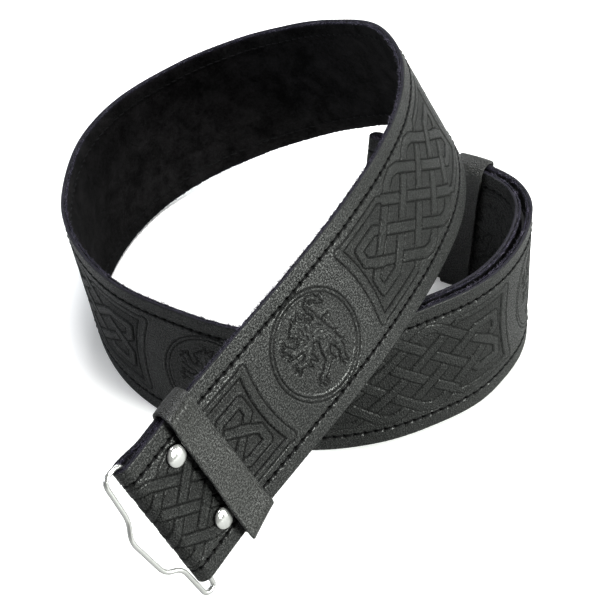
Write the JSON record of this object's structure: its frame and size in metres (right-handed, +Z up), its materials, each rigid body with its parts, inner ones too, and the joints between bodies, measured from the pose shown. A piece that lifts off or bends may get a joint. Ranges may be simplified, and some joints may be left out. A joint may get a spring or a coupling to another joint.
{
  "type": "kilt belt",
  "caption": "Black embossed leather kilt belt standing in an open coil, with knotwork and oval lion panels, two leather keepers, press studs and a wire loop for a buckle",
  "frame": {"origin": "on the surface that the belt stands on, under the middle of its bounding box", "axes": "+Z is up from the surface; +Y runs along the longest extent, from the wire loop towards the back of the coil; +X is to the viewer's right"},
  "size_m": [0.191, 0.2718, 0.1154],
  "materials": {
    "leather": "embossed, pebbled grain, satin",
    "suede": "napped suede, dull",
    "keeper_leather": "fine pebbled grain, satin",
    "nickel": "bright nickel plate",
    "pad": "woven, dull"
  },
  "bodies": {
    "belt": {"strap": "leather", "lining": "suede", "keeper_front": "keeper_leather", "keeper_back": "keeper_leather", "press_stud_upper": "nickel", "press_stud_lower": "nickel", "tail_pad": "pad"},
    "loop": {"wire_loop": "nickel"}
  },
  "joints": [
    {"name": "wire_loop_swing", "type": "hinge", "parent": "belt", "child": "loop", "pos_m": [-0.04551, -0.12436, 0.05175], "axis": [-0.4546, 0.0881, 0.8863], "range_deg": [-90, 90]}
  ]
}
